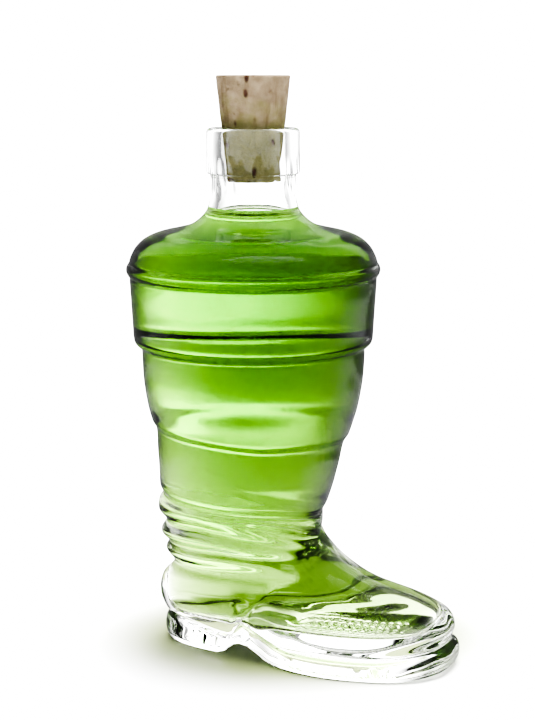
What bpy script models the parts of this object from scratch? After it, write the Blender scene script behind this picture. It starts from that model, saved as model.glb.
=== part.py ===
"""Boot-shaped glass bottle, filled with a green liquid and closed by a tapered cork.

The glass is one skin of stacked rings: under the sole, up the outside, over the rim, and down the inside.
The working unit is the millimetre, with x = 0 on the neck's axis, until place() moves the finished points.
"""

import math

import bpy
from mathutils import Vector

MM = 0.001
COLLECTION = "boot_bottle"

# Driving dimensions
SIDES = 40  # points round a ring of the boot
RIM_Z = 157.2  # top of the glass
BORE_R = 9.7  # inside of the mouth
BAND_R = 13.8  # outside of the thick band at the mouth
BAND_HEIGHT = 13.4
BAND_ROUND = 1.3
NECK_R = 12.6
LIQUID_Z = 133.2  # level of the liquid, in the neck
LIQUID_GAP = 0.3  # between the liquid's solid and the glass
CORK_TOP_Z = 172.5
CORK_BOTTOM_Z = 141.6
CORK_TOP_R = 11.05
CORK_BOTTOM_R = 7.65
CORK_CHAMFER = 0.5
CORK_SIDES = 36
SOLE_BACK, SOLE_FRONT = -28.6, 65.0
SOLE_HEEL, SOLE_BALL = 17.2, 23.8  # half widths
SOLE_SQUARE = 2.6
SOLE_WAIST = 2.6  # how far each side draws in under the arch
CUFF_R = 37.9
MIDDLE_X = (SOLE_FRONT - CUFF_R) / 2  # centre of the bounding box

# Where the sole's plan changes from heel to ball, along x
HEEL_X, BALL_X, WAIST_X = -13.0, 36.0, 6.0
WAIST_SPREAD = 11.0

# A section: height, back end, front end, half width at the heel, half width at the ball, squareness.
UPPER = [
    (8.9, -28.4, 62.6, 16.8, 22.2, 2.6),
    (12.2, -29.9, 63.6, 17.6, 22.4, 2.6),
    (16.0, -30.2, 61.9, 17.9, 20.6, 2.6),
    (19.0, -29.7, 56.6, 17.8, 17.6, 2.5),
    (21.0, -28.9, 49.6, 17.9, 15.4, 2.5),
    (23.0, -28.1, 42.0, 18.1, 14.8, 2.4),
    (25.5, -27.8, 35.4, 18.6, 15.6, 2.3),
    (29.0, -28.3, 28.6, 19.9, 18.0, 2.2),
    (33.0, -29.2, 23.9, 21.4, 20.8, 2.1),
    (37.0, -29.9, 21.6, 22.6, 22.4, 2.0),
    (41.0, -30.2, 21.4, 23.4, 23.4, 2.0),
]
SHAFT = [
    (46.0, -29.4, 22.9, 24.6, 24.6, 2.0),
    (51.0, -28.9, 24.5, 25.9, 25.9, 2.0),
    (57.0, -28.9, 26.1, 27.2, 27.2, 2.0),
    (63.0, -29.3, 28.0, 28.6, 28.6, 2.0),
    (69.0, -30.3, 30.1, 30.2, 30.2, 2.0),
    (75.0, -31.8, 31.8, 31.8, 31.8, 2.0),
    (83.0, -33.0, 33.0, 33.0, 33.0, 2.0),
    (90.6, -33.4, 33.4, 33.4, 33.4, 2.0),
]
# Turned sections above the shaft, as (height, radius)
CUFF = [(92.2, 33.7), (93.3, 35.2), (95.6, 36.1), (99.0, 36.3), (106.0, 36.4), (112.6, 36.7)]
BEAD = [(113.5, 37.0), (114.5, 37.7), (115.7, CUFF_R), (117.0, 37.4)]
DOME = [(119.5, 36.4), (122.3, 34.9), (124.6, 32.4), (126.3, 28.6), (127.5, 23.4), (128.7, 18.9)]
FLARE = [(130.6, 16.0), (133.0, 13.9), (136.0, 12.9), (139.3, NECK_R), (RIM_Z - BAND_HEIGHT - 1, NECK_R)]

CAVITY_FOOT = [
    (9.2, -15.0, 46.0, 8.5, 11.5, 2.4),
    (9.8, -20.5, 52.5, 11.2, 15.0, 2.5),
    (11.6, -23.6, 57.2, 13.2, 17.6, 2.5),
    (14.6, -24.9, 57.8, 14.2, 17.2, 2.5),
    (17.6, -24.8, 52.8, 14.6, 14.8, 2.5),
    (19.8, -24.0, 45.4, 14.8, 12.2, 2.4),
    (22.0, -23.2, 37.6, 15.0, 11.6, 2.3),
    (25.2, -23.0, 29.4, 15.8, 13.4, 2.2),
    (30.0, -24.4, 22.6, 17.6, 16.8, 2.1),
    (36.0, -25.6, 19.2, 19.4, 19.2, 2.0),
    (42.0, -26.3, 18.9, 20.6, 20.6, 2.0),
    (50.0, -25.9, 21.0, 22.7, 22.7, 2.0),
    (60.0, -26.0, 24.4, 25.2, 25.2, 2.0),
    (70.0, -27.6, 27.6, 27.6, 27.6, 2.0),
]
CAVITY_BODY = [
    (80.0, 29.8),
    (90.0, 30.8),
    (100.0, 32.6),
    (110.0, 33.5),
    (116.5, 33.4),
    (120.6, 31.8),
    (123.2, 27.6),
    (124.6, 21.4),
    (126.4, 16.0),
    (129.6, 12.2),
    (133.6, 10.4),
    (139.0, 9.8),
]

# Folds pressed into the leg: height at the back, height at the front, depth, half height, and how far
# round from the back the fold reaches, in degrees.
FOLDS = [
    (68.6, 65.2, 0.7, 1.6, 180),
    (47.6, 40.6, 0.9, 1.5, 180),
    (38.4, 35.4, 2.0, 1.9, 150),
    (32.2, 31.8, 1.5, 1.7, 145),
    (25.0, 29.5, 2.2, 2.6, 120),
]


def smooth(low, high, value):
    """0 below low, 1 above high, and an even S between them."""
    share = min(1.0, max(0.0, (value - low) / (high - low)))
    return share * share * (3 - 2 * share)


def bump(centre, spread, value):
    return math.exp(-(((value - centre) / spread) ** 2))


def turned(points):
    """Sections of a turned stretch, from its (height, radius) points."""
    return [(z, -r, r, r, r, 2.0) for z, r in points]


def through(sections, steps):
    """Sections on a smooth curve through the given ones, in so many steps between each pair."""
    ends = [sections[0], *sections, sections[-1]]
    made = []
    for index in range(len(sections) - 1):
        before, start, end, after = ends[index : index + 4]
        for step in range(steps):
            t = step / steps
            made.append(tuple(catmull(*four, t) for four in zip(before, start, end, after)))
    return [*made, sections[-1]]


def catmull(p0, p1, p2, p3, t):
    """Catmull-Rom value between p1 and p2."""
    return 0.5 * (
        2 * p1
        + (p2 - p0) * t
        + (2 * p0 - 5 * p1 + 4 * p2 - p3) * t * t
        + (3 * p1 - p0 - 3 * p2 + p3) * t**3
    )


def ground_line(x):
    """Height of the sole's underside: flat under heel and ball, lifted at the arch and at the toe."""
    arch = 3.6 * smooth(-6.0, 2.0, x) * (1 - smooth(3.0, 15.0, x))
    return arch + 1.2 * smooth(52.0, 66.0, x)


def welt_line(x):
    """Height at which the sole meets the upper: a heel block, a step at the arch, and a thin front sole."""
    heel = 8.4 - 2.2 * smooth(-26.0, 0.0, x)
    front = 5.4 + 4.4 * (1 - smooth(2.0, 20.0, x)) + 2.2 * smooth(44.0, 66.0, x)
    step = smooth(-3.0, 5.0, x)
    return heel * (1 - step) + front * step


def ring(section, inset=0.0):
    """Plan of a section as (x, y, angle) points; inset draws it in evenly."""
    z, back, front, heel, ball, square = section
    middle = (back + front) / 2
    reach = (front - back) / 2 - inset
    made = []
    for index in range(SIDES):
        angle = 2 * math.pi * index / SIDES
        c, s = math.cos(angle), math.sin(angle)
        scale = (abs(c) ** square + abs(s) ** square) ** (-1 / square)
        x = middle + reach * c * scale
        width = heel + (ball - heel) * smooth(HEEL_X, BALL_X, x) - inset
        made.append((x, width * s * scale, angle))
    return made


def folded(points, z):
    """Draws the points of a ring in where a fold crosses it."""
    made = []
    for x, y, angle in points:
        from_back = abs(180 - math.degrees(angle))
        depth = 0.0
        for z_back, z_front, deep, half, reach in FOLDS:
            z_fold = z_front + (z_back - z_front) * (1 - math.cos(angle)) / 2
            fade = 1.0 if reach >= 180 else 1 - smooth(reach - 50, reach, from_back)
            depth += deep * fade * bump(z_fold, half, z)
        made.append((x - depth * math.cos(angle), y - depth * math.sin(angle), angle))
    return made


def sole_ring(inset, rise):
    """A ring of the sole: rise is 0 on the underside and 1 at the welt."""
    points = []
    for x, y, _ in ring((0, SOLE_BACK, SOLE_FRONT, SOLE_HEEL, SOLE_BALL, SOLE_SQUARE), inset):
        y -= math.copysign(min(abs(y), SOLE_WAIST * bump(WAIST_X, WAIST_SPREAD, x)), y)
        low, high = ground_line(x), welt_line(x)
        points.append((x, y, low + rise * (high - low)))
    return points


def under_rings():
    """The underside of the sole, from near its middle out to its edge, all on the ground line."""
    middle = (SOLE_BACK + SOLE_FRONT) / 2
    edge = sole_ring(1.6, 0.0)
    made = []
    for share in (0.25, 0.5, 0.75, 1.0):
        scaled = [(middle + (x - middle) * share, y * share) for x, y, _ in edge]
        made.append([(x, y, ground_line(x)) for x, y in scaled])
    return made


def side_rings():
    """The sole's rounded side, and the groove of the welt."""
    return [sole_ring(0.4, 0.14), sole_ring(0.0, 0.5), sole_ring(0.5, 0.86), sole_ring(1.9, 1.0)]


def upper_rings():
    """Foot and ankle: the lowest rings follow the welt, and the folds are pressed in higher up."""
    first = UPPER[0][0]
    made = []
    for section in through(UPPER + SHAFT, 2):
        z = section[0]
        follow = 1 - smooth(first, 21.0, z)
        points = folded(ring(section), z)
        made.append([(x, y, z + follow * (welt_line(x) + 1.4 - first)) for x, y, _ in points])
    return made


def flat_rings(sections, inset=0.0):
    return [[(x, y, section[0]) for x, y, _ in ring(section, inset)] for section in sections]


def band_points():
    """(height, radius) round the thick band at the mouth, from the neck up to the bore."""
    low = RIM_Z - BAND_HEIGHT
    soft = BAND_ROUND * (1 - math.sqrt(0.5))
    top = RIM_Z - soft
    return [
        (low, BAND_R - BAND_ROUND / 2),
        (low + BAND_ROUND / 2, BAND_R),
        (RIM_Z - BAND_ROUND, BAND_R),
        (top, BAND_R - soft),
        (RIM_Z, BAND_R - BAND_ROUND),
        (RIM_Z, BORE_R + 0.6),
        (RIM_Z - 0.6, BORE_R),
    ]


def cavity_sections():
    """The inside, from its floor to just under the straight bore."""
    foot = through(CAVITY_FOOT + turned(CAVITY_BODY[:5]), 1)
    return foot + turned(CAVITY_BODY[5:])


def cavity_floor():
    """Middle of the cavity's floor."""
    _, back, front, *_ = CAVITY_FOOT[0]
    return ((back + front) / 2, 0.0, CAVITY_FOOT[0][0])


def place(point):
    """A point in millimetres from the neck's axis, as metres from the middle of the base."""
    x, y, z = point
    return Vector((x - MIDDLE_X, y, z)) * MM


def material(name, colour, roughness, transmission=0.0):
    made = bpy.data.materials.new(name)
    made.use_nodes = True
    shader = made.node_tree.nodes["Principled BSDF"]
    shader.inputs["Base Color"].default_value = colour
    shader.inputs["Roughness"].default_value = roughness
    shader.inputs["Metallic"].default_value = 0.0
    shader.inputs["Transmission Weight"].default_value = transmission
    return made


def collection():
    made = bpy.data.collections.new(COLLECTION)
    bpy.context.scene.collection.children.link(made)
    return made


def lofted(name, first, rings, last, finish, home):
    """A closed skin from the point first, out through the rings, to the point last."""
    points = [place(first)]
    for points_of_ring in rings:
        points += [place(point) for point in points_of_ring]
    points.append(place(last))
    faces = []
    for side in range(SIDES):
        after = (side + 1) % SIDES
        faces.append((0, 1 + after, 1 + side))
        for level in range(len(rings) - 1):
            low, high = 1 + level * SIDES, 1 + (level + 1) * SIDES
            faces.append((low + side, low + after, high + after, high + side))
        top = 1 + (len(rings) - 1) * SIDES
        faces.append((top + side, top + after, len(points) - 1))
    mesh = bpy.data.meshes.new(name)
    mesh.from_pydata(points, [], faces)
    mesh.materials.append(finish)
    mesh.shade_smooth()
    mesh.set_sharp_from_angle(angle=math.radians(40))
    made = bpy.data.objects.new(name, mesh)
    home.objects.link(made)
    return made


def make_glass(home):
    """The bottle: the outside from under the sole up to the rim, then the inside back down to its floor."""
    finish = material("clear_glass", (0.93, 0.97, 0.93, 1.0), 0.02, 1.0)
    turned_outside = turned([*CUFF, *BEAD, *DOME, *FLARE, *band_points()])
    inside = list(reversed(cavity_sections()))
    rings = under_rings() + side_rings() + upper_rings()
    rings += flat_rings(turned_outside)
    rings += flat_rings([(CAVITY_BODY[-1][0] + 2, -BORE_R, BORE_R, BORE_R, BORE_R, 2.0), *inside])
    middle = (SOLE_BACK + SOLE_FRONT) / 2
    return lofted("glass_boot", (middle, 0.0, ground_line(middle)), rings, cavity_floor(), finish, home)


def make_liquid(home):
    """The liquid's solid: the inside of the glass, drawn in by the gap and cut off level."""
    finish = material("green_liquid", (0.20, 0.55, 0.05, 1.0), 0.05, 0.8)
    x, y, z = cavity_floor()
    below = [section for section in cavity_sections() if section[0] < LIQUID_Z - 0.2]
    radius = BORE_R + 0.65
    sections = [*below, (LIQUID_Z, -radius, radius, radius, radius, 2.0)]
    rings = flat_rings(sections, LIQUID_GAP)
    lifted = [[(px, py, pz + LIQUID_GAP) for px, py, pz in points] for points in rings[:2]]
    rings = lifted + rings[2:]
    return lofted("liquid_fill", (x, y, z + LIQUID_GAP), rings, (0.0, 0.0, LIQUID_Z), finish, home)


def make_cork(home):
    """The stopper: a tapered plug with its edges taken off, turned round the neck's axis."""
    finish = material("cork", (0.78, 0.66, 0.48, 1.0), 0.9)
    slope = (CORK_TOP_R - CORK_BOTTOM_R) / (CORK_TOP_Z - CORK_BOTTOM_Z)
    profile = [
        (0.0, CORK_TOP_Z),
        (CORK_TOP_R - CORK_CHAMFER, CORK_TOP_Z),
        (CORK_TOP_R, CORK_TOP_Z - CORK_CHAMFER),
        (CORK_BOTTOM_R + slope * (RIM_Z - CORK_BOTTOM_Z), RIM_Z),
        (CORK_BOTTOM_R, CORK_BOTTOM_Z + CORK_CHAMFER),
        (CORK_BOTTOM_R - CORK_CHAMFER, CORK_BOTTOM_Z),
        (0.0, CORK_BOTTOM_Z),
    ]
    mesh = bpy.data.meshes.new("cork_stopper")
    points = [Vector((r, 0.0, z - CORK_BOTTOM_Z)) * MM for r, z in profile]
    mesh.from_pydata(points, [(i, i + 1) for i in range(len(points) - 1)], [])
    mesh.materials.append(finish)
    made = bpy.data.objects.new("cork_stopper", mesh)
    made.location = place((0.0, 0.0, CORK_BOTTOM_Z))
    home.objects.link(made)
    turn = made.modifiers.new("turn", "SCREW")
    turn.steps = turn.render_steps = CORK_SIDES
    turn.use_merge_vertices = True
    turn.merge_threshold = 0.00001
    turn.use_smooth_shade = True
    return made


def main():
    for old in list(bpy.data.objects):
        bpy.data.objects.remove(old)
    home = collection()
    make_glass(home)
    make_liquid(home)
    make_cork(home)


main()
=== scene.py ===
"""Looks of the boot-shaped glass bottle: fine glass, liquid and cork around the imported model."""

import math

import bpy
import numpy as np
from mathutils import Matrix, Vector, noise


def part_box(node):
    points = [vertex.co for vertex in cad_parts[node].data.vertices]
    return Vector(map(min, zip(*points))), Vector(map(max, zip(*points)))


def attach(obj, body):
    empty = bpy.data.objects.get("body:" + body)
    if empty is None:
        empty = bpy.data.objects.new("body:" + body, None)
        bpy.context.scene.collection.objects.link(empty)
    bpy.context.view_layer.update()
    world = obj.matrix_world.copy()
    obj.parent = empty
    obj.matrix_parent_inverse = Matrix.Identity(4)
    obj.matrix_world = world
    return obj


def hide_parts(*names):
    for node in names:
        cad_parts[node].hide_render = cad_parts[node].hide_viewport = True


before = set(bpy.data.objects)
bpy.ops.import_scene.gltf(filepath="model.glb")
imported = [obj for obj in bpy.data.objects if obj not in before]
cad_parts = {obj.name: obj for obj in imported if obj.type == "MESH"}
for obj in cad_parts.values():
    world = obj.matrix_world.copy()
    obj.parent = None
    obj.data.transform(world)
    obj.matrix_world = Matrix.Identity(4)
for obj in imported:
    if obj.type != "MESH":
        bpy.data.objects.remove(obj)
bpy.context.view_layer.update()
MM = 0.001

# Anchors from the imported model, in millimetres. The neck's axis is x = 0 in every table below.
GLASS_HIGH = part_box("glass_boot")[1] / MM
CORK_LOW, CORK_HIGH = (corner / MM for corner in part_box("cork_stopper"))
NECK_X = (CORK_LOW.x + CORK_HIGH.x) / 2
RIM_Z = GLASS_HIGH.z
LIQUID_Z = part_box("liquid_fill")[1].z / MM

SIDES = 160  # points round a ring of the glass
BORE_R = 9.5
BAND_R, BAND_HEIGHT, BAND_ROUND = 13.8, 13.4, 1.3
NECK_R = 12.6
CUFF_R = GLASS_HIGH.y
CORK_BOTTOM_R, CORK_TOP_R = 7.65, CORK_HIGH.y
SOLE_BACK, SOLE_FRONT = -28.6, GLASS_HIGH.x - NECK_X
SOLE_HEEL, SOLE_BALL = 17.2, 23.8
SOLE_SQUARE = 2.6
SOLE_EDGE = 1.3  # rounding of the sole's lower edge
SOLE_WAIST = 2.6  # how far each side draws in under the arch
HEEL_X, BALL_X, WAIST_X = -13.0, 36.0, 6.0
WAIST_SPREAD = 11.0
TREAD_DEPTH, TREAD_PITCH = 0.25, 4.4
PINCH = 1.5  # depth of the hollow over the arch
WELT_RISE = 1.2  # of the upper's lowest ring over the welt line
SURFACE_DROP = 0.5  # of the liquid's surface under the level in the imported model
CLIMB, CLIMB_RUN = 0.9, 1.1  # height and length of the liquid's rise against the glass
OVERLAP = 0.12  # how far the liquid's skin reaches into the glass, so that no air shows between them

# Clear materials. The tint's strength is the surface's shine, and wetted glass has none.
GLASS_IOR, LIQUID_IOR = 1.5, 1.36
GLASS_SHINE, WET_SHINE = 0.6, 0.0
SOAK_COLOUR, SOAK_DENSITY = (0.504, 0.635, 0.24, 1.0), 142.0

# Studio, in metres and degrees. The camera stands at its azimuth, measured from -Y towards +X, and faces
# the neck's axis, turned aside by its yaw.
CAMERA_AZIMUTH, CAMERA_PITCH, CAMERA_YAW = 25.0, 9.7, 0.47
CAMERA_DISTANCE, CAMERA_HEIGHT = 0.516, 0.1761
CAMERA_LENS, CAMERA_SENSOR = 87.0, 36.0
ROOM_DIM, ROOM_TOP, BACKDROP_WHITE = 0.25, 0.5, 4.6
SUN_STRENGTH, SUN_ANGLE = 17.0, 40.0
FLOOR_SIZE, FLOOR_PALE = 30.0, (0.93, 0.93, 0.93)
# SHADE is the colour of a painted shadow on the floor under and behind the bottle, tinted green as by light
# through the liquid; SHADE_REACH is its size.
SHADE, SHADE_REACH = (0.24, 0.285, 0.13), (0.068, 0.056, 1)
# The light wall behind the bottle: an even glow and a level band, each fading round the wall from its
# middle. Angles are in degrees to the right of straight behind.
WALL_DISTANCE, WALL_HEIGHT, WALL_REACH = 0.3, 0.25, 90
EVEN_GLOW, EVEN_MIDDLE, EVEN_SPREAD = 7.4, 10, 30
BAND_GLOW, BAND_MIDDLE, BAND_SPREAD = 72.0, 9, 15
BAND_LEVEL, BAND_DEPTH = 0.071, 0.0125

# A section: height, back end, front end, half width at the heel, half width at the ball, squareness.
UPPER = [
    (8.9, -28.4, 62.6, 16.8, 22.2, 2.6),
    (12.2, -29.9, 63.6, 17.6, 22.4, 2.6),
    (16.0, -30.2, 61.9, 17.9, 20.6, 2.6),
    (19.0, -29.7, 56.6, 17.8, 17.6, 2.5),
    (21.0, -28.9, 49.6, 17.9, 15.4, 2.5),
    (23.0, -28.1, 42.0, 18.1, 14.8, 2.4),
    (25.5, -27.8, 35.4, 18.6, 15.6, 2.3),
    (29.0, -28.3, 28.6, 19.9, 18.0, 2.2),
    (33.0, -29.2, 23.9, 21.4, 20.8, 2.1),
    (37.0, -29.9, 21.6, 22.6, 22.4, 2.0),
    (41.0, -30.2, 21.4, 23.4, 23.4, 2.0),
    (46.0, -29.4, 22.9, 24.6, 24.6, 2.0),
    (51.0, -28.9, 24.5, 25.9, 25.9, 2.0),
    (57.0, -28.9, 26.1, 27.2, 27.2, 2.0),
    (63.0, -29.3, 28.0, 28.6, 28.6, 2.0),
    (69.0, -30.3, 30.1, 30.2, 30.2, 2.0),
    (75.0, -31.8, 31.8, 31.8, 31.8, 2.0),
    (83.0, -33.0, 33.0, 33.0, 33.0, 2.0),
    (90.6, -33.4, 33.4, 33.4, 33.4, 2.0),
]
# Turned stretches above the shaft, as (height, radius).
CUFF = [
    (92.0, 33.5),
    (92.8, 34.4),
    (93.8, 35.4),
    (95.4, 35.85),
    (99.0, 36.06),
    (106.0, 36.47),
    (112.4, 36.85),
]
BEAD = [(113.2, 36.8), (113.9, 37.3), (114.8, 37.75), (115.7, CUFF_R), (116.6, 37.7), (117.5, 37.1)]
DOME = [
    (118.2, 36.9),
    (119.7, 36.4),
    (122.3, 34.9),
    (124.6, 32.4),
    (126.3, 28.6),
    (127.5, 23.4),
    (128.7, 18.9),
]
FLARE = [(130.6, 16.0), (133.0, 13.9), (136.0, 12.9), (139.3, NECK_R), (RIM_Z - BAND_HEIGHT - 1, NECK_R)]

# The inside of the glass: sections up to the calf, and turned above it.
CAVITY = [
    (9.2, -15.0, 46.0, 8.5, 11.5, 2.4),
    (9.8, -20.5, 52.5, 11.2, 15.0, 2.5),
    (11.6, -23.6, 57.2, 13.2, 17.6, 2.5),
    (14.6, -24.9, 57.8, 14.2, 17.2, 2.5),
    (17.6, -24.8, 52.8, 14.6, 14.8, 2.5),
    (19.8, -24.0, 45.4, 14.8, 12.2, 2.4),
    (22.0, -23.2, 37.6, 15.0, 11.6, 2.3),
    (25.2, -23.0, 29.4, 15.8, 13.4, 2.2),
    (30.0, -24.4, 22.6, 17.6, 16.8, 2.1),
    (36.0, -25.6, 19.2, 19.4, 19.2, 2.0),
    (42.0, -26.3, 18.9, 20.6, 20.6, 2.0),
    (50.0, -25.9, 21.0, 22.7, 22.7, 2.0),
    (60.0, -26.0, 24.4, 25.2, 25.2, 2.0),
    (70.0, -27.6, 27.6, 27.6, 27.6, 2.0),
]
CAVITY_TURNED = [
    (80.0, 29.8),
    (90.0, 30.8),
    (100.0, 32.6),
    (110.0, 34.2),
    (117.2, 34.7),
    (120.6, 33.2),
    (122.9, 29.8),
    (124.5, 24.0),
    (126.2, 17.8),
    (129.2, 13.2),
    (133.6, 10.6),
    (139.0, 9.7),
    (144.0, BORE_R),
    (150.0, BORE_R),
]

# Folds pressed into the leg. Each has a half width and runs along points of (degrees round from the toe,
# height, depth), the same on both sides of the leg. LEFT_EASE makes them shallower on the boot's left side.
FOLDS = [
    (1.6, [(0, 41.5, 0.7), (45, 44.5, 1.0), (90, 46.0, 1.1), (180, 48.0, 1.5)]),
    (2.3, [(10, 33.0, 0.0), (40, 35.0, 1.0), (80, 38.5, 2.2), (100, 39.5, 2.4), (180, 38.0, 2.4)]),
    (1.4, [(0, 35.5, 0.9), (20, 36.5, 1.1), (40, 39.0, 1.2), (60, 41.5, 0.6), (80, 42.5, 0.0)]),
    (1.8, [(30, 31.5, 0.0), (55, 31.5, 1.5), (90, 32.5, 2.0), (180, 31.5, 2.0)]),
    (2.7, [(40, 31.5, 0.0), (60, 28.5, 0.4), (80, 27.0, 1.0), (120, 25.5, 1.7), (180, 24.5, 2.5)]),
]
LEFT_EASE = 0.6
# The ledge round the calf: (degrees round from the toe, height, half its rise, depth).
LEDGE = [
    (-180, 70.0, 1.5, 0.65),
    (-135, 69.0, 1.2, 0.75),
    (-90, 67.5, 1.1, 0.75),
    (-60, 66.0, 1.1, 0.75),
    (-30, 66.0, 1.1, 0.75),
    (20, 65.0, 1.3, 0.65),
    (60, 70.0, 1.4, 0.30),
    (90, 72.0, 1.4, 0.30),
    (120, 72.5, 1.4, 0.30),
    (150, 71.5, 1.4, 0.45),
    (180, 70.0, 1.5, 0.65),
]
LEDGE_RUN = 9.0  # how far the ledge takes to run out downwards


def smooth(low, high, value):
    """0 below low, 1 above high, and an even S between them."""
    share = np.clip((value - low) / (high - low), 0.0, 1.0)
    return share * share * (3 - 2 * share)


def bump(centre, spread, value):
    """A bell curve, 1 at its centre."""
    return np.exp(-(((value - centre) / spread) ** 2))


def turned(points):
    """Sections of a turned stretch, from its (height, radius) points."""
    return [(z, -r, r, r, r, 2.0) for z, r in points]


def through(sections, spacing):
    """Sections on a Catmull-Rom curve through the given ones, about so many millimetres apart."""
    ends = np.array([sections[0], *sections, sections[-1]], float)
    made = []
    for p0, p1, p2, p3 in zip(ends[:-3], ends[1:-2], ends[2:-1], ends[3:]):
        steps = max(2, round(np.abs(p2 - p1)[[0, 2]].max() / spacing))
        t = (np.arange(steps) / steps)[:, None]
        made.append(
            0.5
            * (
                2 * p1
                + (p2 - p0) * t
                + (2 * p0 - 5 * p1 + 4 * p2 - p3) * t**2
                + (3 * p1 - p0 - 3 * p2 + p3) * t**3
            )
        )
    return np.vstack([*made, ends[-1:]])


def angles():
    return 2 * math.pi * np.arange(SIDES) / SIDES


def ring(section, inset=0.0):
    """Plan of a section: x and y round the ring, drawn in evenly by inset."""
    _, back, front, heel, ball, square = section
    middle, reach = (back + front) / 2, (front - back) / 2 - inset
    c, s = np.cos(angles()), np.sin(angles())
    scale = (np.abs(c) ** square + np.abs(s) ** square) ** (-1 / square)
    x = middle + reach * c * scale
    width = heel + (ball - heel) * smooth(HEEL_X, BALL_X, x) - inset
    return x, width * s * scale


def flat_rings(sections):
    """Level rings, one for each section, as an array of (ring, side, xyz)."""
    made = []
    for section in sections:
        x, y = ring(section)
        made.append(np.stack([x, y, np.full_like(x, section[0])], -1))
    return np.array(made)


def ground_line(x):
    """Height of the sole's underside: flat under heel and ball, lifted at the arch and at the toe."""
    arch = 3.8 * smooth(-5.0, 1.5, x) * (1 - smooth(2.0, 15.0, x))
    return arch + 1.2 * smooth(52.0, 66.0, x)


def welt_line(x):
    """Height at which the sole meets the upper: a heel block, a step at the arch, and a thin front sole."""
    heel = 8.4 - 2.4 * smooth(-26.0, 0.0, x)
    front = 5.4 + 4.6 * (1 - smooth(2.0, 20.0, x)) + 2.2 * smooth(44.0, 66.0, x)
    step = smooth(0.0, 2.6, x)
    return heel * (1 - step) + front * step


def sole_ring(inset, rise):
    """A ring of the sole: rise is 0 on the underside and 1 at the welt."""
    x, y = ring((0, SOLE_BACK, SOLE_FRONT, SOLE_HEEL, SOLE_BALL, SOLE_SQUARE), inset)
    y -= np.sign(y) * np.minimum(np.abs(y), SOLE_WAIST * bump(WAIST_X, WAIST_SPREAD, x))
    low, high = ground_line(x), welt_line(x)
    return np.stack([x, y, low + rise * (high - low)], -1)


def tread(x, y):
    """Depth of the pattern in the underside: small diamonds under the heel and the ball."""
    heel = smooth(-24.0, -22.0, x) * (1 - smooth(-9.0, -7.0, x)) * (1 - smooth(8.5, 10.0, np.abs(y)))
    ball = smooth(16.0, 19.0, x) * (1 - smooth(45.0, 49.0, x)) * (1 - smooth(9.5, 11.5, np.abs(y)))
    diamonds = np.cos(2 * math.pi * (x + y) / TREAD_PITCH) * np.cos(2 * math.pi * (x - y) / TREAD_PITCH)
    return TREAD_DEPTH * (heel + ball) * smooth(0.0, 0.5, diamonds)


def under_rings(count=100):
    """The underside of the sole, from near its middle out to its edge."""
    middle = (SOLE_BACK + SOLE_FRONT) / 2
    edge = sole_ring(SOLE_EDGE, 0.0)
    made = []
    for share in (np.arange(count) + 1) / count:
        x = middle + (edge[:, 0] - middle) * share
        y = edge[:, 1] * share
        made.append(np.stack([x, y, ground_line(x) + tread(x, y)], -1))
    return np.array(made)


def side_rings():
    """The sole's rounded side and the groove of the welt."""
    made = []
    for turn in np.linspace(-80, 80, 13):
        out = math.cos(math.radians(turn))
        made.append(sole_ring(SOLE_EDGE * (1 - out), 0.5 + 0.44 * math.sin(math.radians(turn))))
    made.append(sole_ring(1.7, 0.98))
    made.append(sole_ring(2.1, 1.02))
    return np.array(made)


def fold_depth(angle, z):
    """How far the folds and the calf's ledge draw the leg in, at an angle round it and a height."""
    toe_turn = (np.degrees(angle) + 180) % 360 - 180
    from_toe = np.abs(toe_turn)
    depth = 0.0
    for half, points in FOLDS:
        degrees, heights, depths = np.array(points, float).T
        line = np.interp(from_toe, degrees, heights)
        depth = depth + np.interp(from_toe, degrees, depths) * bump(line, half, z)
    depth = depth * (1 - LEFT_EASE * smooth(10, 50, toe_turn) * (1 - smooth(130, 170, toe_turn)))
    degrees, heights, halves, drops = np.array(LEDGE, float).T
    below = np.interp(toe_turn, degrees, heights) - z
    half = np.interp(toe_turn, degrees, halves)
    ledge = smooth(-half, half, below) * (1 - smooth(half, LEDGE_RUN, below))
    return depth + np.interp(toe_turn, degrees, drops) * ledge


def pinch_depth(x, y, z):
    """The hollow over the arch, on each side, where the foot is nipped in."""
    centre = WAIST_X - 2.0 + 0.55 * (z - 10.0)
    fade = smooth(8.0, 12.0, z) * (1 - smooth(15.0, 23.0, z)) * smooth(6.0, 12.0, np.abs(y))
    return PINCH * fade * bump(centre, 3.0, x)


def wavy(rings, size, phase):
    """Small slow waves in the skin of blown glass, in and out from the leg's axis."""
    x, y, z = rings[..., 0], rings[..., 1], rings[..., 2]
    angle = np.arctan2(y, x)
    wave = np.sin(3 * angle + z / 17 + phase) + 0.7 * np.sin(5 * angle - z / 11 + 2.1 + phase)
    wave = wave + 0.5 * np.sin(z / 6.5 + 2 * angle + phase) + 0.35 * np.sin(z / 3.1 - 3 * angle + 2 * phase)
    wave = size * wave * smooth(20.0, 34.0, z) * (1 - smooth(122.0, 130.0, z))
    made = rings.copy()
    made[..., 0] += wave * np.cos(angle)
    made[..., 1] += wave * np.sin(angle)
    return made


def streaked(rings):
    """Upright ripples inside the neck, as left when hot glass is drawn out."""
    x, y, z = rings[..., 0], rings[..., 1], rings[..., 2]
    angle = np.arctan2(y, x)
    ripple = np.sin(9 * angle + z / 4.1) + 0.8 * np.sin(14 * angle - z / 6.3 + 1)
    ripple = ripple + 0.6 * np.sin(23 * angle + z / 2.2)
    ripple = 0.09 * ripple * smooth(136.5, 139.0, z) * (1 - smooth(145.0, 150.0, z))
    made = rings.copy()
    made[..., 0] += ripple * np.cos(angle)
    made[..., 1] += ripple * np.sin(angle)
    return made


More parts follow.
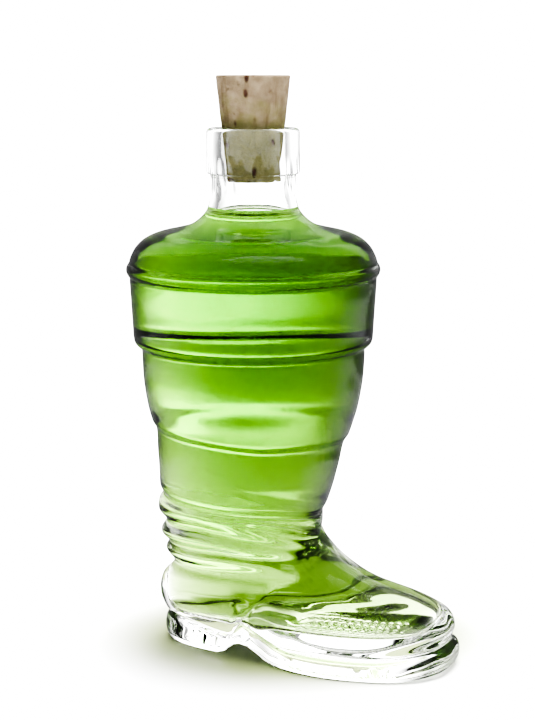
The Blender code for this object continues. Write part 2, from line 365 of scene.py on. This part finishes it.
def upper_rings():
    """Foot, ankle and shaft: the lowest rings follow the welt, and the folds are pressed in higher up."""
    first = UPPER[0][0]
    around = angles()
    made = []
    for section in through(UPPER, 0.55):
        z = section[0]
        x, y = ring(section)
        depth = fold_depth(around, z)
        y = y - np.sign(y) * pinch_depth(x, y, z)
        follow = 1 - smooth(first, 21.0, z)
        height = z + follow * (welt_line(x) + WELT_RISE - first)
        made.append(np.stack([x - depth * np.cos(around), y - depth * np.sin(around), height], -1))
    return wavy(np.array(made), 0.05, 0.0)


def band_sections():
    """The thick band at the mouth: (height, radius) from the neck, over the rounded rim, to the bore."""
    low = RIM_Z - BAND_HEIGHT
    made = [(low - 0.3, NECK_R + 0.1), (low, NECK_R + 0.4)]
    for turn in np.radians(np.linspace(-90, 0, 7)):
        made.append((low + 0.7 + 0.7 * math.sin(turn), BAND_R - 0.7 + 0.7 * math.cos(turn)))
    for turn in np.radians(np.linspace(0, 90, 9)):
        made.append((RIM_Z - BAND_ROUND * (1 - math.sin(turn)), BAND_R - BAND_ROUND * (1 - math.cos(turn))))
    for turn in np.radians(np.linspace(90, 180, 9)):
        made.append((RIM_Z - 0.9 * (1 - math.sin(turn)), BORE_R + 0.9 * (1 + math.cos(turn))))
    return turned(made)


def cavity_rings():
    """The inside of the glass, from its floor up to the bore."""
    rings = flat_rings(through(CAVITY + turned(CAVITY_TURNED), 1.3))
    return wavy(streaked(rings), 0.11, 1.7)


def glass_rings():
    outside = through([UPPER[-1], *turned([*CUFF, *BEAD, *DOME, *FLARE])], 0.55)[1:]
    rings = [under_rings(), side_rings(), upper_rings(), flat_rings(outside), flat_rings(band_sections())]
    inside = cavity_rings()[::-1]
    return np.vstack([*rings, inside])


def lofted(name, first, rings, last, finish):
    """A closed skin from the point first, out through the rings, to the point last, in metres."""
    levels, sides, _ = rings.shape
    points = np.vstack([[first], rings.reshape(-1, 3), [last]])
    points[:, 0] += NECK_X
    side = np.arange(sides)
    after = (side + 1) % sides
    start = 1 + np.arange(levels - 1)[:, None] * sides
    quads = np.stack([start + side, start + after, start + sides + after, start + sides + side], -1)
    top = 1 + (levels - 1) * sides
    faces = [(0, 1 + b, 1 + a) for a, b in zip(side, after)]
    faces += quads.reshape(-1, 4).tolist()
    faces += [(top + a, top + b, len(points) - 1) for a, b in zip(side, after)]
    mesh = bpy.data.meshes.new(name)
    mesh.from_pydata((points * MM).tolist(), [], faces)
    mesh.materials.append(finish)
    mesh.shade_smooth()
    made = bpy.data.objects.new(name, mesh)
    bpy.context.scene.collection.objects.link(made)
    return made


def outward(rings, distance):
    """The rings moved out along the normal of their skin."""
    along = np.gradient(rings, axis=0)
    around = np.roll(rings, -1, 1) - np.roll(rings, 1, 1)
    normal = np.cross(around, along)
    normal /= np.maximum(np.linalg.norm(normal, axis=-1, keepdims=True), 1e-9)
    return rings + distance * normal


def map_range(tree, value, source, target, kind="LINEAR"):
    made = tree.nodes.new("ShaderNodeMapRange")
    made.interpolation_type = kind
    made.inputs["From Min"].default_value, made.inputs["From Max"].default_value = source
    made.inputs["To Min"].default_value, made.inputs["To Max"].default_value = target
    tree.links.new(value, made.inputs["Value"])
    return made.outputs["Result"]


def mottle(tree, scale, detail, stretch=(1, 1, 1)):
    """A noise over the piece's own coordinates, in metres, stretched by so much."""
    where = tree.nodes.new("ShaderNodeTexCoord")
    turn = tree.nodes.new("ShaderNodeMapping")
    turn.inputs["Scale"].default_value = stretch
    made = tree.nodes.new("ShaderNodeTexNoise")
    made.inputs["Scale"].default_value = scale
    made.inputs["Detail"].default_value = detail
    tree.links.new(where.outputs["Object"], turn.inputs["Vector"])
    tree.links.new(turn.outputs["Vector"], made.inputs["Vector"])
    return made.outputs["Fac"]


def spots(tree, scale, stretch, low, high):
    """Scattered pits, 1 inside and 0 between them."""
    where = tree.nodes.new("ShaderNodeTexCoord")
    turn = tree.nodes.new("ShaderNodeMapping")
    turn.inputs["Scale"].default_value = stretch
    made = tree.nodes.new("ShaderNodeTexVoronoi")
    made.inputs["Scale"].default_value = scale
    tree.links.new(where.outputs["Object"], turn.inputs["Vector"])
    tree.links.new(turn.outputs["Vector"], made.inputs["Vector"])
    return map_range(tree, made.outputs["Distance"], (low, high), (1.0, 0.0), "SMOOTHSTEP")


def blend(tree, share, first, second):
    """A colour between two, each a plain colour or the output of a node."""
    made = tree.nodes.new("ShaderNodeMix")
    made.data_type = "RGBA"
    tree.links.new(share, made.inputs["Factor"])
    for slot, colour in ((6, first), (7, second)):
        if isinstance(colour, tuple):
            made.inputs[slot].default_value = (*colour, 1.0)
        else:
            tree.links.new(colour, made.inputs[slot])
    return made.outputs[2]


def raised(tree, height, depth, strength, under=None):
    """A bump, in metres, over the one under it."""
    made = tree.nodes.new("ShaderNodeBump")
    made.inputs["Distance"].default_value = depth
    made.inputs["Strength"].default_value = strength
    tree.links.new(height, made.inputs["Height"])
    if under:
        tree.links.new(under, made.inputs["Normal"])
    return made.outputs["Normal"]


def clear_material(name, shine, light, dark, ior, bump_depth):
    """A clear material whose tint, polish and surface change a little from place to place."""
    made = bpy.data.materials.new(name)
    made.use_nodes = True
    tree = made.node_tree
    shader = tree.nodes["Principled BSDF"]
    shader.inputs["IOR"].default_value = ior
    shader.inputs["Transmission Weight"].default_value = 1.0
    shader.inputs["Specular Tint"].default_value = (shine, shine, shine, 1.0)
    broad = mottle(tree, 45.0, 2.0)
    tree.links.new(blend(tree, broad, light, dark), shader.inputs["Base Color"])
    fine = mottle(tree, 260.0, 3.0)
    tree.links.new(map_range(tree, fine, (0.45, 0.8), (0.0, 0.02)), shader.inputs["Roughness"])
    dents = mottle(tree, 90.0, 1.0, (1, 1, 0.5))
    tree.links.new(raised(tree, dents, bump_depth, 1.0), shader.inputs["Normal"])
    return made


def glass_material(name, shine):
    return clear_material(name, shine, (0.99, 0.997, 0.99), (0.975, 0.985, 0.97), GLASS_IOR, 0.00006)


def liquid_material():
    """A clear liquid that takes its colour from the absorption of light along its path."""
    pale, tinted = (1.0, 1.0, 1.0), (0.97, 1.0, 0.95)
    made = clear_material("bottle_liquid", WET_SHINE, pale, tinted, LIQUID_IOR, 0.00002)
    tree = made.node_tree
    soak = tree.nodes.new("ShaderNodeVolumeAbsorption")
    soak.inputs["Color"].default_value = SOAK_COLOUR
    soak.inputs["Density"].default_value = SOAK_DENSITY
    tree.links.new(soak.outputs["Volume"], tree.nodes["Material Output"].inputs["Volume"])
    return made


def cork_material():
    """Cork: mottled tan with upright streaks and dark pits, stained by the liquid towards its foot."""
    made = bpy.data.materials.new("natural_cork")
    made.use_nodes = True
    tree = made.node_tree
    shader = tree.nodes["Principled BSDF"]
    shader.inputs["Specular IOR Level"].default_value = 0.25
    cloud = map_range(tree, mottle(tree, 320.0, 6.0), (0.3, 0.7), (0, 1))
    tan = blend(tree, cloud, (0.13, 0.098, 0.060), (0.20, 0.155, 0.100))
    streak = map_range(tree, mottle(tree, 420.0, 4.0, (1, 1, 0.12)), (0.52, 0.68), (0, 0.75), "SMOOTHSTEP")
    tan = blend(tree, streak, tan, (0.085, 0.060, 0.032))
    where = tree.nodes.new("ShaderNodeTexCoord")
    parts = tree.nodes.new("ShaderNodeSeparateXYZ")
    tree.links.new(where.outputs["Object"], parts.inputs["Vector"])
    ragged = tree.nodes.new("ShaderNodeMath")
    ragged.operation = "MULTIPLY_ADD"
    tree.links.new(mottle(tree, 240.0, 4.0), ragged.inputs[0])
    ragged.inputs[1].default_value = 0.022
    tree.links.new(parts.outputs["Z"], ragged.inputs[2])
    stain = map_range(tree, ragged.outputs[0], (0.165, 0.178), (0.7, 0.0), "SMOOTHSTEP")
    tan = blend(tree, stain, tan, (0.105, 0.110, 0.028))
    pits = spots(tree, 330.0, (1, 1, 0.55), 0.12, 0.3)
    few = map_range(tree, mottle(tree, 150.0, 2.0), (0.5, 0.6), (0, 1), "SMOOTHSTEP")
    chosen = tree.nodes.new("ShaderNodeMath")
    chosen.operation = "MULTIPLY"
    tree.links.new(pits, chosen.inputs[0])
    tree.links.new(few, chosen.inputs[1])
    tree.links.new(blend(tree, chosen.outputs[0], tan, (0.05, 0.02, 0.01)), shader.inputs["Base Color"])
    polish = map_range(tree, mottle(tree, 500.0, 5.0), (0.3, 0.7), (0.7, 0.95))
    tree.links.new(polish, shader.inputs["Roughness"])
    grain = raised(tree, mottle(tree, 700.0, 6.0), 0.0006, 0.6)
    dark = map_range(tree, chosen.outputs[0], (0, 1), (1, 0))
    tree.links.new(raised(tree, dark, 0.0005, 0.8, grain), shader.inputs["Normal"])
    return made


def cavity_floor(drop=0.0):
    """The point in the middle of the cavity's floor, or so far under it."""
    height, back, front = CAVITY[0][:3]
    return (back + front) / 2, 0.0, height - drop


def make_glass():
    """The bottle as one skin: under the sole, up the outside, over the rim, and down the inside."""
    rings = glass_rings()
    middle = (SOLE_BACK + SOLE_FRONT) / 2
    first = (middle, 0.0, ground_line(middle))
    made = lofted("bottle_glass", first, rings, cavity_floor(), glass_material("bottle_glass", GLASS_SHINE))
    made.data.materials.append(glass_material("wetted_glass", WET_SHINE))
    first_inner = (len(rings) - len(cavity_rings())) * SIDES
    for face in made.data.polygons:
        if min(face.vertices) > first_inner and face.center.z < (LIQUID_Z - SURFACE_DROP - 0.1) * MM:
            face.material_index = 1
    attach(made, "bottle")
    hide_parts("glass_boot")


def make_liquid():
    """The liquid, which fills the cavity and climbs a little way up the glass at its surface."""
    surface = LIQUID_Z - SURFACE_DROP
    rings = cavity_rings()
    rings = rings[rings[:, 0, 2] < surface - 0.1]
    rings = outward(rings, OVERLAP)
    edge = rings[-1]
    top = []
    for share in np.linspace(1.0, 0.06, 16):
        rim = edge * [share, share, 0]
        rim[:, 2] = surface + CLIMB * math.exp(-(1 - share) * BORE_R / CLIMB_RUN)
        top.append(rim)
    rings = np.vstack([rings, top])
    made = lofted("green_liquid", cavity_floor(OVERLAP), rings, (0.0, 0.0, surface), liquid_material())
    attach(made, "bottle")
    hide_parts("liquid_fill")


def make_cork():
    """The tapered cork, a little out of round, with pits and chipped edges."""
    grow = (CORK_TOP_R - CORK_BOTTOM_R) / (CORK_HIGH.z - CORK_LOW.z)
    profile = [(CORK_LOW.z, share * (CORK_BOTTOM_R - 0.5)) for share in np.linspace(0.08, 1.0, 14)]
    profile += [(CORK_LOW.z + 0.2, CORK_BOTTOM_R - 0.15)]
    for z in np.linspace(CORK_LOW.z + 0.5, CORK_HIGH.z - 0.5, 130):
        profile.append((z, CORK_BOTTOM_R + grow * (z - CORK_LOW.z)))
    profile += [(CORK_HIGH.z - 0.15, CORK_TOP_R - 0.15)]
    profile += [(CORK_HIGH.z, share * (CORK_TOP_R - 0.5)) for share in np.linspace(1.0, 0.08, 16)]
    rings = flat_rings(turned(profile))
    for place in rings.reshape(-1, 3):
        spot = Vector(place)
        rough = 0.10 * (noise.noise(spot * 0.35) - 0.5) + 0.06 * (noise.noise(spot * 1.1) - 0.5)
        near = noise.voronoi(Vector((spot.x * 0.42, spot.y * 0.42, spot.z * 0.27)))[0][0]
        pick = smooth(0.05, 0.25, noise.noise(spot * 0.3 + Vector((7, 3, 1))))
        pit = 0.5 * (1 - smooth(0.05, 0.26, near)) * pick
        inward = min(1.0 + (rough - pit) / max(math.hypot(spot.x, spot.y), 1.0), 1.0)
        place[0] *= inward
        place[1] *= inward
        if spot.z > CORK_HIGH.z - 0.05:
            place[2] -= 0.6 * pit + 0.05 * abs(rough)
    made = lofted("cork", (0, 0, CORK_LOW.z), rings, (0, 0, CORK_HIGH.z - 0.05), cork_material())
    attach(made, "stopper")
    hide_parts("cork_stopper")


def studio_side(along, across):
    """A level direction: along away from the camera, across to its right."""
    a = math.radians(CAMERA_AZIMUTH)
    right = Vector((math.cos(a), math.sin(a), 0))
    away = Vector((-math.sin(a), math.cos(a), 0))
    return right * across + away * along


def make_floor():
    """A pale floor with a painted shadow under and behind the bottle, green-grey and deeper than the shade
    the lamps throw.
    """
    bpy.ops.mesh.primitive_plane_add(size=FLOOR_SIZE, location=(0, 0, -0.0001))
    floor = bpy.context.object
    floor.name = "floor"
    finish = bpy.data.materials.new("floor")
    finish.use_nodes = True
    tree = finish.node_tree
    shader = tree.nodes["Principled BSDF"]
    shader.inputs["Roughness"].default_value = 0.5
    where = tree.nodes.new("ShaderNodeTexCoord")
    oval = tree.nodes.new("ShaderNodeMapping")
    oval.vector_type = "TEXTURE"
    oval.inputs["Location"].default_value = studio_side(0.006, 0.015) + Vector((NECK_X * MM, 0, 0))
    oval.inputs["Rotation"].default_value = (0, 0, math.radians(CAMERA_AZIMUTH))
    oval.inputs["Scale"].default_value = SHADE_REACH
    reach = tree.nodes.new("ShaderNodeVectorMath")
    reach.operation = "LENGTH"
    tree.links.new(where.outputs["Object"], oval.inputs["Vector"])
    tree.links.new(oval.outputs["Vector"], reach.inputs[0])
    # Painted shadow: the floor goes from the shade colour near the bottle to the pale colour further out.
    out = map_range(tree, reach.outputs["Value"], (0.6, 1.05), (0.0, 1.0), "SMOOTHSTEP")
    tree.links.new(blend(tree, out, SHADE, FLOOR_PALE), shader.inputs["Base Color"])
    floor.data.materials.append(finish)
    floor.visible_glossy = False


def make_world():
    """A dim room with a soft glow overhead, and white where the camera looks into the distance."""
    world = bpy.data.worlds.new("studio")
    bpy.context.scene.world = world
    world.use_nodes = True
    tree = world.node_tree
    back = tree.nodes["Background"]
    back.inputs["Color"].default_value = (1.0, 1.0, 1.0, 1.0)
    where = tree.nodes.new("ShaderNodeTexCoord")
    parts = tree.nodes.new("ShaderNodeSeparateXYZ")
    tree.links.new(where.outputs["Generated"], parts.inputs["Vector"])
    glow = map_range(tree, parts.outputs["Z"], (0.35, 0.95), (ROOM_DIM, ROOM_TOP), "SMOOTHSTEP")
    path = tree.nodes.new("ShaderNodeLightPath")
    choice = tree.nodes.new("ShaderNodeMix")
    tree.links.new(path.outputs["Is Camera Ray"], choice.inputs["Factor"])
    tree.links.new(glow, choice.inputs["A"])
    choice.inputs["B"].default_value = BACKDROP_WHITE
    tree.links.new(choice.outputs["Result"], back.inputs["Strength"])


def make_wall():
    """A curved light wall behind the bottle, with a bright level band. The camera looks through it."""
    degrees = np.linspace(-WALL_REACH, WALL_REACH, 91)
    turns = np.radians(degrees)
    even = ROOM_DIM + EVEN_GLOW * bump(EVEN_MIDDLE, EVEN_SPREAD, degrees)
    band = BAND_GLOW * bump(BAND_MIDDLE, BAND_SPREAD, degrees)
    points, glow = [], []
    for height in np.linspace(0, WALL_HEIGHT, 101):
        points += [(WALL_DISTANCE * math.sin(t), WALL_DISTANCE * math.cos(t), height) for t in turns]
        glow += list(even + bump(BAND_LEVEL, BAND_DEPTH, height) * band)
    across = len(turns)
    faces = [
        (start + i, start + i + 1, start + i + across + 1, start + i + across)
        for start in range(0, len(points) - across, across)
        for i in range(across - 1)
    ]
    mesh = bpy.data.meshes.new("light_wall")
    mesh.from_pydata(points, [], faces)
    mesh.attributes.new("glow", "FLOAT", "POINT").data.foreach_set("value", glow)
    made = bpy.data.objects.new("light_wall", mesh)
    made.location = (NECK_X * MM, 0, 0)
    made.rotation_euler = (0, 0, math.radians(CAMERA_AZIMUTH))
    made.visible_camera = False
    made.visible_shadow = False
    made.visible_glossy = False
    bpy.context.scene.collection.objects.link(made)
    finish = bpy.data.materials.new("light_wall")
    finish.use_nodes = True
    tree = finish.node_tree
    tree.nodes.remove(tree.nodes["Principled BSDF"])
    level = tree.nodes.new("ShaderNodeAttribute")
    level.attribute_name = "glow"
    light = tree.nodes.new("ShaderNodeEmission")
    tree.links.new(level.outputs["Fac"], light.inputs["Strength"])
    tree.links.new(light.outputs["Emission"], tree.nodes["Material Output"].inputs["Surface"])
    mesh.materials.append(finish)


def make_sun():
    """A soft sun, nearly overhead, which whitens the floor."""
    data = bpy.data.lights.new("sun", "SUN")
    data.energy = SUN_STRENGTH
    data.angle = math.radians(SUN_ANGLE)
    made = bpy.data.objects.new("sun", data)
    bpy.context.scene.collection.objects.link(made)
    down = studio_side(-0.08, -0.10) - Vector((0, 0, 1))
    made.rotation_euler = down.to_track_quat("-Z", "Y").to_euler()
    made.visible_glossy = False


def make_camera():
    data = bpy.data.cameras.new("camera")
    data.lens, data.sensor_width = CAMERA_LENS, CAMERA_SENSOR
    data.clip_start, data.clip_end = 0.01, 50.0
    made = bpy.data.objects.new("camera", data)
    bpy.context.scene.collection.objects.link(made)
    made.location = Vector((NECK_X * MM, 0, CAMERA_HEIGHT)) + studio_side(-CAMERA_DISTANCE, 0)
    made.rotation_euler = (math.radians(90 - CAMERA_PITCH), 0.0, math.radians(CAMERA_AZIMUTH - CAMERA_YAW))
    bpy.context.scene.camera = made


def main():
    make_glass()
    make_liquid()
    make_cork()
    make_floor()
    make_world()
    make_wall()
    make_sun()
    make_camera()
    scene = bpy.context.scene
    scene.view_settings.view_transform = "AgX"
    scene.view_settings.look = "AgX - Very High Contrast"
    scene.cycles.max_bounces = 24
    scene.cycles.transmission_bounces = 24
    scene.cycles.glossy_bounces = 12
    scene.cycles.transparent_max_bounces = 16


main()
